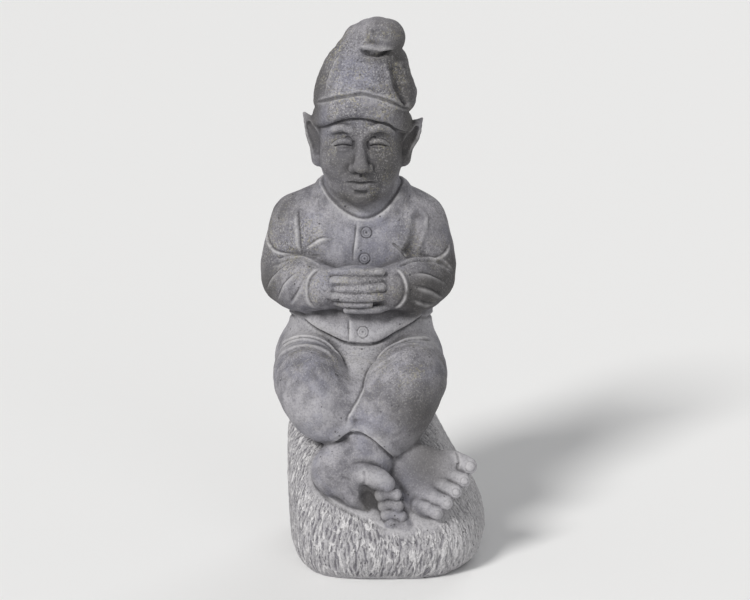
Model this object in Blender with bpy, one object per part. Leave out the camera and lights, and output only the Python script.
"""A goblin in a floppy hat, carved with the boulder that it sits on from one block of grey stone.

The figure is blocked in with balls and tapered limbs that a voxel remesh fuses. Strokes like a chisel's
then cut its creases and raise the edges of its clothes, and the skin is thinned to a light faceted solid.
Metres, +Z up. The figure faces -Y, so its left is +X.
"""
import math

import bmesh
import bpy
import numpy as np
from mathutils import Matrix, Vector
from mathutils.bvhtree import BVHTree

# Driving dimensions
statue_height = 0.600
boulder_left = 0.100
boulder_right = 0.130
boulder_front = 0.136
boulder_back = 0.136
seat_height = 0.160
underside_round = 0.030

# The figure is drawn in millimetres of a statue 600 high, on a seat at 160, its feet on a ledge at 78.
drawn_height = 600
drawn_seat = 160
drawn_ledge = 78
figure_middle = -14

# Metres in a millimetre of the drawing, and how far the drawing is lifted to sit on this seat
unit = (statue_height - seat_height) / (drawn_height - drawn_seat)
figure_lift = seat_height - drawn_seat * unit
foot_ledge_height = drawn_ledge * unit + figure_lift

# How finely the clay is fused, how far its joints are blended and how light the finished solid is
fuse_grid = 0.0021
broad_blend = 22
fine_blend = 4
blend_factor = 0.5
final_triangles = 9400
limb_ball_detail = 3
boulder_corners = 64
boulder_squareness = 2.9
band_steps = 28
path_spacing = 4

stone_colour = (0.255, 0.252, 0.268, 1)
stone_roughness = 0.82


def clear_scene():
    for thing in list(bpy.data.objects):
        bpy.data.objects.remove(thing, do_unlink=True)


def place(x, y, z):
    """A point of the drawing, in metres, lifted with the seat."""
    return Vector((x, y, z)) * unit + Vector((0, 0, figure_lift))


def sphere_points(centre, radii):
    """The points of a ball squashed to three radii."""
    ball = bmesh.new()
    bmesh.ops.create_icosphere(ball, subdivisions=limb_ball_detail, radius=1)
    shape = Matrix.Translation(centre) @ Matrix.Diagonal((*radii, 1))
    points = [shape @ vertex.co for vertex in ball.verts]
    ball.free()
    return points


def add_hull(clay, points):
    """Adds the tight skin round some points to the clay."""
    vertices = [clay.verts.new(point) for point in points]
    hull = bmesh.ops.convex_hull(clay, input=vertices)
    left_over = set(hull["geom_interior"]) | set(hull["geom_unused"])
    bmesh.ops.delete(clay, geom=[v for v in left_over if isinstance(v, bmesh.types.BMVert)], context="VERTS")


def ball(clay, x, y, z, radii):
    """A ball of the figure, squashed to three radii."""
    add_hull(clay, sphere_points(place(x, y, z), [r * unit for r in radii]))


def limb(clay, stations, flat=(1, 1, 1)):
    """A limb through stations (x, y, z, radius), each stretch the skin round two balls.
    flat squashes the balls along X, Y and Z."""
    balls = [
        sphere_points(place(x, y, z), [radius * unit * f for f in flat])
        for x, y, z, radius in stations
    ]
    for first, second in zip(balls, balls[1:]):
        add_hull(clay, first + second)


# The boulder


def boulder_sections():
    """Level outlines of the boulder: (height, left, right, front, back), from under the saw cut to the seat.
    The front falls from the seat to the ledge that carries the feet, then rounds down to the floor."""
    ledge, seat, tuck = foot_ledge_height, seat_height, underside_round
    slope = seat - ledge
    return [
        (-0.4 * tuck, 0.76, 0.82, 0.80, 0.80),
        (0, 0.85, 0.89, 0.875, 0.87),
        (0.35 * tuck, 0.91, 0.955, 0.95, 0.94),
        (tuck, 0.96, 0.995, 1.0, 0.985),
        (0.55 * ledge, 0.975, 0.985, 0.99, 1.0),
        (0.80 * ledge, 0.985, 0.92, 0.93, 1.0),
        (ledge, 0.99, 0.85, 0.845, 1.0),
        (ledge + 0.30 * slope, 0.99, 0.73, 0.68, 1.0),
        (ledge + 0.60 * slope, 0.99, 0.63, 0.48, 0.99),
        (ledge + 0.85 * slope, 0.96, 0.55, 0.28, 0.96),
        (seat, 0.88, 0.48, 0.12, 0.90),
        (seat + 0.10 * slope, 0.70, 0.38, 0.0, 0.78),
    ]


def add_boulder(clay):
    """Skins the boulder's outlines, each a rounded box drawn as a superellipse."""
    rings = []
    for height, left, right, front, back in boulder_sections():
        ring = []
        for step in range(boulder_corners):
            angle = 2 * math.pi * step / boulder_corners
            across, along = math.cos(angle), math.sin(angle)
            reach_x = boulder_right * right if across > 0 else boulder_left * left
            reach_y = boulder_back * back if along > 0 else boulder_front * front
            x = reach_x * math.copysign(abs(across) ** (2 / boulder_squareness), across)
            y = reach_y * math.copysign(abs(along) ** (2 / boulder_squareness), along)
            ring.append(clay.verts.new((x, y, height)))
        rings.append(ring)
    for lower, upper in zip(rings, rings[1:]):
        for step in range(boulder_corners):
            after = (step + 1) % boulder_corners
            clay.faces.new((lower[step], lower[after], upper[after], upper[step]))
    clay.faces.new(list(reversed(rings[0])))
    clay.faces.new(rings[-1])


# The large masses of the figure, which blend into each other


def add_trunk(clay):
    middle = figure_middle
    ball(clay, middle - 4, 72, 206, (94, 57, 57))
    ball(clay, middle, 54, 253, (82, 59, 56))
    ball(clay, middle, 68, 318, (84, 48, 72))
    left_slope = [(20, 71, 379, 37), (49, 74, 362, 36)]
    limb(clay, [(-84, 74, 362, 36), (-48, 71, 379, 37), (middle, 68, 384, 38)] + left_slope)
    limb(clay, [(-62, 62, 356, 32), (34, 62, 356, 32)])
    limb(clay, [(middle, 72, 380, 45), (middle, 68, 410, 42), (middle, 66, 432, 38)], flat=(1, 0.85, 1))
    # Trouser cloth that sags between the thighs and fills the crease between the knees
    between_knees = [(-20, -58, 188, 20), (-26, -66, 170, 18)]
    limb(clay, [(middle, 20, 228, 27), (-15, -12, 211, 26), (-19, -36, 200, 24)] + between_knees)


def add_arms(clay):
    for side, shoulder, elbow in ((-1, -84, -96), (1, 50, 61)):
        limb(
            clay,
            [
                (shoulder, 75, 364, 33),
                (shoulder + 10 * side, 71, 332, 34),
                (elbow, 58, 303, 34),
                (elbow - 19 * side, 22, 301, 31),
                (elbow - 38 * side, 6, 302, 26),
            ],
        )
    # The backs of the folded hands
    ball(clay, -16, 3, 301, (54, 19, 28))


def add_legs(clay):
    # The figure's right leg, at the left of the front view, passes under the other.
    limb(clay, [(-58, 66, 200, 55), (-67, -4, 209, 46), (-66, -40, 206, 46)])
    limb(clay, [(-66, -42, 204, 46), (-57, -56, 184, 42), (-43, -62, 166, 29), (0, -62, 143, 26)])
    limb(clay, [(0, -62, 143, 26), (30, -66, 128, 22)])
    # The figure's left leg crosses over it.
    limb(clay, [(24, 66, 200, 50), (39, -4, 210, 43), (37, -38, 208, 46)])
    limb(clay, [(36, -42, 204, 46), (24, -54, 184, 46), (12, -62, 166, 44), (-4, -68, 151, 36)])


def add_feet(clay):
    # The figure's left foot, its sole turned to the front: heel at the left, toes at the right
    limb(clay, [(-34, -80, 122, 29), (-6, -80, 130, 31)])
    limb(clay, [(-41, -85, 113, 28), (-14, -98, 100, 28), (9, -103, 88, 26), (25, -103, 76, 20)])
    # The figure's right foot, lying on its outer edge, its back to the front
    limb(clay, [(26, -66, 127, 23), (50, -77, 117, 25), (74, -85, 108, 25)], flat=(1, 0.75, 1))
    limb(clay, [(34, -74, 116, 23), (60, -96, 90, 20)], flat=(1, 0.8, 1))


def add_head(clay):
    middle = figure_middle
    ball(clay, middle, 62, 470, (49, 52, 62))
    ball(clay, middle, 50, 440, (45, 42, 42))
    ball(clay, middle, 38, 414, (30, 27, 20))
    for side in (-1, 1):
        ball(clay, middle + side * 26, 30, 444, (17, 16, 17))


def add_crown(clay):
    """The hat's crown, narrowing upwards, and its tip, which leans to the figure's left and flops forward."""
    crown = [(-10, 63, 506, 59), (-10, 64, 528, 55), (-8, 65, 548, 48), (-5, 66, 566, 38)]
    limb(clay, crown, flat=(1, 0.93, 0.4))
    limb(clay, [(-8, 64, 568, 29), (5, 57, 577, 24), (15, 50, 578.5, 21.5)])


# The small masses, which keep their edges


def add_fingers(clay):
    # Three fingers come from each side and lie between those of the other hand, the highest first.
    limb(clay, [(-58, 4, 318, 6), (-36, -10, 323, 5), (-14, -15.5, 324.5, 4.8), (9, -13, 324.5, 4.6)])
    limb(clay, [(28, 4, 314, 6), (4, -13, 315.5, 5.4), (-22, -18, 315.5, 5.2), (-44.5, -14, 315, 4.9)])
    limb(clay, [(-60, 0, 304, 6), (-36, -15, 306, 5.5), (-12, -20, 307, 5.5), (9.5, -17.5, 308, 5.2)])
    limb(clay, [(30, 0, 299, 6.4), (6, -17, 297, 5.8), (-20, -20, 296.5, 5.7), (-43.5, -15.5, 297, 5.6)])
    limb(clay, [(-56, 2, 291, 5.6), (-34, -13, 288.5, 5), (-14, -17, 288, 4.8), (-4, -16, 288, 4.2)])
    limb(clay, [(24, 3, 285, 5.6), (6, -11, 281, 4.6), (-16, -13.5, 280, 4.4), (-30, -11.5, 280, 4)])


def add_toes(clay):
    # The crossed foot: the big toe, then four toes curled to the right
    limb(clay, [(-20, -104, 119, 12), (0, -112, 116, 12.5), (14, -114, 111, 11)])
    for left, right, forward, height, radius in (
        (10, 22, -117, 99, 7),
        (11, 26, -119, 88, 7),
        (12, 29, -120, 77, 7),
        (18, 32, -120, 66.5, 6.8),
    ):
        limb(clay, [(left, forward, height, radius), (right, forward, height, radius)])
    # The under foot: the big toe on top, then four toes stepping down to the left
    limb(clay, [(84, -80, 127, 10.5), (98, -84, 124.5, 10.5), (106, -87, 120, 9.5)])
    limb(clay, [(80, -88, 113, 7.8), (92, -92, 110, 7.4), (100, -95, 107, 7)])
    limb(clay, [(71, -95, 102.5, 7.8), (83, -100, 99.5, 7.4), (90.5, -102, 96.5, 7)])
    limb(clay, [(61, -102, 92, 7.8), (73, -107, 88.5, 7.4), (81, -109, 86, 7)])
    limb(clay, [(55, -108, 80, 7.6), (64, -112.5, 77.5, 7.2), (70, -114, 75.5, 6.8)])


def add_features(clay):
    middle = figure_middle
    limb(clay, [(middle, 15, 476, 6), (middle, 8, 456, 6), (middle, 3, 441, 8)])
    for side in (-1, 1):
        ball(clay, middle + side * 8, 11, 438, (5, 6, 4.5))
        ball(clay, middle + side * 18, 20, 465, (9.5, 7, 6))
        brow = [(8, 15, 477, 4.5), (20, 16, 480.5, 4.5), (32, 25, 476, 4)]
        limb(clay, [(middle + side * x, y, z, radius) for x, y, z, radius in brow])
        upper_lip = [(0, 10, 426, 3.6), (9, 13.5, 424, 3), (15, 18, 423, 2)]
        limb(clay, [(middle + side * x, y, z, radius) for x, y, z, radius in upper_lip])
    limb(clay, [(middle - 9, 14, 417.5, 3.2), (middle, 11, 416.5, 4), (middle + 9, 14, 417.5, 3.2)])
    ball(clay, middle, 17, 403, (13, 10, 8))


def add_ears(clay):
    """Large pointed ears. The left one stands a little lower at its tip."""
    right_tip = [(-73, 56, 484, 7), (-78, 59, 491, 3.5)]
    left_tip = [(49, 56, 479, 7.5), (55, 59, 485, 3.5)]
    limb(clay, [(-62, 54, 441, 9), (-63, 52, 456, 9.5), (-67, 52, 471, 10.5)] + right_tip, flat=(1, 0.6, 1))
    limb(clay, [(34, 54, 441, 9), (36, 52, 456, 10), (42, 52, 468, 11)] + left_tip, flat=(1, 0.6, 1))


def add_hat_details(clay):
    # The turned-up band, which arches over the brow and drops to the ears
    band = []
    for step in range(band_steps + 1):
        angle = 2 * math.pi * step / band_steps
        frontness = max(0, -math.sin(angle))
        height = 486 - 3.5 * math.cos(angle) + 21 * frontness ** 2
        band.append((-12.5 + 48 * math.cos(angle), 62 + 46 * math.sin(angle), height, 12.5))
    limb(clay, band, flat=(0.75, 0.75, 1))
    # Folds down the two sides
    low_end = [(-56, 57, 530, 9), (-58.5, 57, 514, 9)]
    limb(clay, [(-37, 62, 561, 7), (-43.5, 60, 554, 8), (-50, 58, 543, 8.5)] + low_end)
    limb(clay, [(31, 66, 552, 8), (35, 62, 536, 7), (38, 60, 516, 12), (35, 58, 503, 9)])


# The carving, as strokes through points of the drawing that lie close to the surface: kind, width, depth or
# rise, and the points. A groove is cut, and a lip raises the surface to the right of its stroke.


def face_strokes():
    middle = figure_middle
    strokes = [
        ("groove", 2.6, 2.2, [(middle - 14, 17, 421), (middle, 8, 420.5), (middle + 14, 17, 421)]),
        ("groove", 5, 1.6, [(middle - 7, 13, 410), (middle + 7, 13, 410)]),
    ]
    for side in (-1, 1):
        under_brow = [(7, 13, 471), (18, 13, 474), (28, 20, 470)]
        strokes.append(("groove", 4, 2.6, [(middle + side * x, y, z) for x, y, z in under_brow]))
        under_eye = [(9, 15, 459), (18, 14, 457), (27, 20, 459)]
        strokes.append(("groove", 3.5, 1.6, [(middle + side * x, y, z) for x, y, z in under_eye]))
        beside_nose = [(9, 12, 446), (13, 12, 438), (18, 14, 429)]
        strokes.append(("groove", 4, 1.5, [(middle + side * x, y, z) for x, y, z in beside_nose]))
    return strokes


def head_strokes():
    band_top = [(-66, 48, 505), (-48, 27, 512), (-25, 17, 518), (-12, 15, 520), (3, 15, 517), (19, 19, 511),
                (33, 27, 504), (43, 48, 498)]
    band_under = [(-66, 46, 479), (-52, 30, 480), (-34, 18, 487), (-14, 11, 493), (8, 16, 488), (26, 29, 480),
                  (42, 46, 472)]
    under_tip = [(-17, 34, 568), (-9, 31, 565), (0, 30, 564), (9, 30, 564), (18, 31, 565), (28, 38, 566)]
    return [
        # The hollows of the ears
        ("groove", 4.5, 4, [(-66, 45, 446), (-67, 44, 458), (-69, 46, 471), (-73, 52, 482)]),
        ("groove", 4.5, 4, [(38, 45, 446), (40, 44, 458), (45, 46, 468), (50, 52, 477)]),
        ("groove", 4, 3, band_top),
        ("groove", 4, 3.5, band_under),
        # The hat: under its tip, and down its left and right sides as seen from the front
        ("groove", 6, 6, under_tip),
        ("groove", 10, 5, [(22, 38, 550), (28, 36, 532), (32, 38, 516)]),
        ("groove", 6, 3, [(-38, 46, 560), (-45, 40, 548), (-50, 38, 533), (-53, 38, 518)]),
        # Behind: two drag folds from the tip, and the band's upper edge
        ("groove", 6, 3.5, [(-26, 100, 560), (-38, 106, 535), (-42, 106, 510)]),
        ("groove", 6, 3.5, [(12, 104, 560), (20, 108, 535), (22, 106, 508)]),
        ("groove", 4, 3, [(-70, 62, 501), (-55, 96, 498), (-12, 116, 497), (30, 96, 495), (46, 62, 496)]),
    ]


def jacket_strokes():
    collar = [(-57, 62, 414), (-51, 48, 401), (-41, 38, 390), (-28, 32, 381), (-12, 28, 376), (3, 31, 379),
              (18, 40, 389), (28, 58, 401), (31, 72, 412), (20, 98, 420), (-14, 108, 422), (-47, 98, 420),
              (-57, 62, 414)]
    hem = [(37, 6, 254), (22, -12, 251), (5, -6, 241), (-12, -4, 236), (-31, -6, 241), (-48, -15, 249),
           (-64, -2, 253), (-80, 32, 258), (-94, 62, 258), (-92, 90, 244), (-66, 108, 234), (-14, 118, 230),
           (38, 108, 234), (64, 90, 244), (66, 62, 258), (50, 32, 258), (37, 6, 254)]
    right_cuff = [(-57, -2, 327), (-68, -8, 321), (-73, -12, 312), (-74, -14, 303), (-71, -12, 290),
                  (-62, -6, 280)]
    strokes = [
        ("lip", 2.5, 3.2, collar),
        ("lip", 2.5, 3.2, hem),
        ("groove", 2.4, 1.8, [(-18, 26, 375), (-20, 24, 356), (-22, 20, 340), (-23, 20, 328)]),
        ("groove", 2.4, 1.8, [(-27, 0, 268), (-27, -4, 254), (-27, -5, 240)]),
        # The seam down the back
        ("groove", 4, 2, [(-14, 112, 408), (-14, 116, 360), (-14, 116, 300), (-14, 118, 270), (-14, 118, 234)]),
        ("groove", 6, 3, [(-88, 46, 385), (-84, 42, 372), (-82, 38, 358), (-82, 36, 345), (-82, 30, 333)]),
        ("groove", 6, 3, [(50, 46, 384), (46, 42, 364), (41, 36, 346), (33, 26, 331)]),
        ("groove", 3.2, 1.5, [(-79, 34, 342), (-69, 32, 350), (-59, 28, 356), (-46, 26, 355)]),
        ("groove", 3.2, 1.5, [(20, 28, 350), (29, 32, 342), (37, 34, 333)]),
        ("groove", 4, 2.5, [(-122, 63, 349), (-116, 46, 339), (-105, 38, 336), (-83, 34, 334)]),
        ("groove", 4, 2.5, [(60, 36, 326), (73, 38, 330), (83, 45, 335), (88, 55, 343)]),
        ("groove", 5, 3.5, [(-113, 36, 322), (-102, 28, 329), (-84, 24, 333), (-72, 12, 330), (-57, 0, 327)]),
        ("groove", 5, 3.5, [(26, 0, 327), (37, 10, 330), (54, 20, 331), (72, 32, 326), (88, 42, 312)]),
        ("groove", 4.5, 2.5, [(-119, 34, 300), (-107, 22, 316), (-96, 20, 325)]),
        ("groove", 4.5, 2.5, [(-108, 17, 293), (-98, 6, 308), (-84, 6, 322)]),
        ("groove", 4, 2, [(-92, -2, 293), (-82, -6, 309)]),
        ("groove", 4.5, 2.5, [(38, -4, 320), (52, 2, 318), (66, 12, 312), (80, 26, 304)]),
        ("groove", 4.5, 2.5, [(46, -4, 300), (60, 4, 294), (74, 18, 288)]),
        ("lip", 2.5, 3, right_cuff),
        ("lip", 2.5, 3, [(22, -8, 280), (32, -13, 294), (35, -14, 306), (32, -11, 318), (24, -4, 326)]),
        # Creases behind the shoulders and elbows
        ("groove", 6, 3, [(-84, 106, 384), (-86, 106, 350), (-80, 104, 322)]),
        ("groove", 6, 3, [(54, 106, 384), (56, 106, 350), (50, 104, 322)]),
    ]
    # The gaps between the fingers
    gaps = ((-46, 12, 320), (-50, 18, 311.5), (-50, 22, 302), (-48, 20, 293), (-42, 12, 284.5))
    for low, high, height in gaps:
        gap = [(low, -10, height), ((low + high) / 2, -16, height), (high, -10, height)]
        strokes.append(("groove", 2.6, 2, gap))
    return strokes


def leg_strokes():
    right_thigh_crease = [(-112, 20, 230), (-98, -2, 243), (-82, -10, 250), (-66, -16, 251), (-50, -20, 247),
                          (-38, -30, 238), (-28, -36, 222)]
    hem = [(22, -86, 128), (15, -96, 146), (1, -101, 159), (-16, -100, 165), (-30, -94, 162), (-40, -90, 154),
           (-48, -84, 144)]
    left_thigh_crease = [(-7, -36, 223), (4, -30, 238), (18, -28, 249), (36, -20, 254), (56, -6, 254),
                         (72, 20, 244)]
    right_knee_crease = [(-108, -30, 226), (-96, -38, 237), (-80, -46, 244), (-64, -52, 244), (-50, -56, 238)]
    return [
        ("groove", 5, 3, right_thigh_crease),
        ("groove", 5, 3, [(-110, -8, 230), (-96, -17, 242), (-81, -28, 248), (-64, -34, 248), (-48, -38, 242)]),
        ("groove", 5, 3, right_knee_crease),
        ("groove", 5, 3, left_thigh_crease),
        ("groove", 4.5, 2.5, [(22, -48, 250), (42, -46, 253), (60, -38, 249), (74, -20, 240)]),
        ("groove", 4.5, 2.5, [(-6, -60, 217), (6, -64, 228), (18, -64, 240), (34, -60, 247)]),
        # Between the legs, the trousers' hem and the hollow of the sole
        ("groove", 6, 5, [(-18, -36, 204), (-25, -66, 196), (-31, -82, 182), (-36, -92, 162)]),
        ("lip", 2.5, 3.5, hem),
        ("groove", 9, 7, [(-8, -122, 102), (-5, -122, 91), (2, -122, 78)]),
    ]


button_places = [(-8, 26, 361), (-10, 21, 332), (-12, -5, 253)]
button_radius = 5.5
button_rise = 1.8

# How far a lip's raised side takes to die away, in millimetres of the drawing
lip_fade = 16


def even_path(corners, spacing):
    """A smooth curve through the corners (Catmull-Rom), at about even spacing."""
    corners = [Vector(corner) for corner in corners]
    ends = [corners[0] * 2 - corners[1]] + corners + [corners[-1] * 2 - corners[-2]]
    path = []
    for before, start, stop, after in zip(ends, ends[1:], ends[2:], ends[3:]):
        count = max(1, round((stop - start).length / spacing))
        for step in range(count):
            t = step / count
            cubic = (3 * start - 3 * stop + after - before) * t ** 3
            square = (2 * before - 5 * start + 4 * stop - after) * t ** 2
            path.append((cubic + square + (stop - before) * t + 2 * start) / 2)
    return path + [corners[-1]]


def smooth_step(share):
    share = np.clip(share, 0, 1)
    return share * share * (3 - 2 * share)


def stroke_shift(points, normals, surface, stroke):
    """How far one stroke moves each point along its normal."""
    kind, width, amount, corners = stroke
    width, amount, fade = width * unit, amount * unit, lip_fade * unit
    reach = fade if kind == "lip" else width
    path = np.array([surface.find_nearest(place(*corner))[0] for corner in even_path(corners, path_spacing)])
    near = np.all((points > path.min(0) - reach) & (points < path.max(0) + reach), axis=1).nonzero()[0]
    start, run = path[:-1], np.diff(path, axis=0)
    length_squared = np.maximum((run ** 2).sum(1), 1e-12)
    from_start = points[near, None, :] - start
    along = np.clip((from_start * run).sum(2) / length_squared, 0, 1)
    offset = from_start - along[:, :, None] * run
    distance = np.sqrt((offset ** 2).sum(2))
    closest = distance.argmin(1)
    rows = np.arange(len(near))
    distance = distance[rows, closest]
    shift = np.zeros(len(points))
    if kind == "lip":
        right_hand = np.cross(run[closest], normals[near])
        side = np.sign((right_hand * offset[rows, closest]).sum(1)) * distance
        shift[near] = amount * smooth_step(side / width + 0.5) * smooth_step(1.5 - 1.5 * distance / fade)
    else:
        shift[near] = -amount * np.clip(1 - (distance / width) ** 2, 0, 1) ** 2
    return shift


def button_shift(points, surface, corner):
    """A low round button with an even rim."""
    centre = np.array(surface.find_nearest(place(*corner))[0])
    distance = np.sqrt(((points - centre) ** 2).sum(1)) / (button_radius * unit)
    return button_rise * unit * smooth_step(3 * (1 - distance))


def carve(skin):
    """Moves the skin's points along their normals by every stroke and button."""
    count = len(skin.vertices)
    flat_points = np.empty(count * 3)
    skin.vertices.foreach_get("co", flat_points)
    flat_normals = np.empty(count * 3)
    skin.vertices.foreach_get("normal", flat_normals)
    points, normals = flat_points.reshape(-1, 3), flat_normals.reshape(-1, 3)
    corners = [vertex.co for vertex in skin.vertices]
    surface = BVHTree.FromPolygons(corners, [face.vertices for face in skin.polygons])
    shift = np.zeros(count)
    for stroke in face_strokes() + head_strokes() + jacket_strokes() + leg_strokes():
        shift += stroke_shift(points, normals, surface, stroke)
    for corner in button_places:
        shift += button_shift(points, surface, corner)
    points = points + normals * shift[:, None]
    # The box of the block is centred over the origin.
    points[:, :2] -= (points[:, :2].min(0) + points[:, :2].max(0)) / 2
    skin.vertices.foreach_set("co", points.ravel())
    skin.update()


def fused(clay, rounds):
    """One closed skin round all the clay, its joints blended by some rounds of smoothing."""
    rough = bpy.data.meshes.new("clay")
    clay.to_mesh(rough)
    clay.free()
    block = bpy.data.objects.new("clay", rough)
    bpy.context.scene.collection.objects.link(block)
    remesh = block.modifiers.new("fuse", "REMESH")
    remesh.mode = "VOXEL"
    remesh.voxel_size = fuse_grid
    smooth = block.modifiers.new("blend", "SMOOTH")
    smooth.factor = blend_factor
    smooth.iterations = rounds
    bpy.context.view_layer.update()
    graph = bpy.context.evaluated_depsgraph_get()
    skin = bpy.data.meshes.new_from_object(block.evaluated_get(graph))
    bpy.data.objects.remove(block)
    return skin


def add_saw(block):
    """The flat underside: everything below the floor is sawn off."""
    reach = 2 * statue_height
    saw_mesh = bpy.data.meshes.new("saw")
    cutter = bmesh.new()
    bmesh.ops.create_cube(cutter, size=reach, matrix=Matrix.Translation((0, 0, -reach / 2)))
    cutter.to_mesh(saw_mesh)
    cutter.free()
    saw = bpy.data.objects.new("saw", saw_mesh)
    bpy.context.scene.collection.objects.link(saw)
    saw.hide_render = True
    saw.display_type = "WIRE"
    cut = block.modifiers.new("sawn flat", "BOOLEAN")
    cut.operation = "DIFFERENCE"
    cut.object = saw


def stone():
    material = bpy.data.materials.new("grey_stone")
    material.use_nodes = True
    shader = material.node_tree.nodes["Principled BSDF"]
    shader.inputs["Base Color"].default_value = stone_colour
    shader.inputs["Roughness"].default_value = stone_roughness
    shader.inputs["Metallic"].default_value = 0
    return material


def main():
    clear_scene()
    masses = bmesh.new()
    for add in (add_boulder, add_trunk, add_arms, add_legs, add_feet, add_head, add_crown):
        add(masses)
    clay = bmesh.new()
    clay.from_mesh(fused(masses, broad_blend))
    for add in (add_fingers, add_toes, add_features, add_ears, add_hat_details):
        add(clay)
    skin = fused(clay, fine_blend)
    skin.name = "goblin_statue"
    carve(skin)
    skin.materials.append(stone())
    statue = bpy.data.objects.new("goblin_statue", skin)
    bpy.context.scene.collection.objects.link(statue)
    thin = statue.modifiers.new("thin", "DECIMATE")
    skin.calc_loop_triangles()
    thin.ratio = final_triangles / len(skin.loop_triangles)
    add_saw(statue)


main()
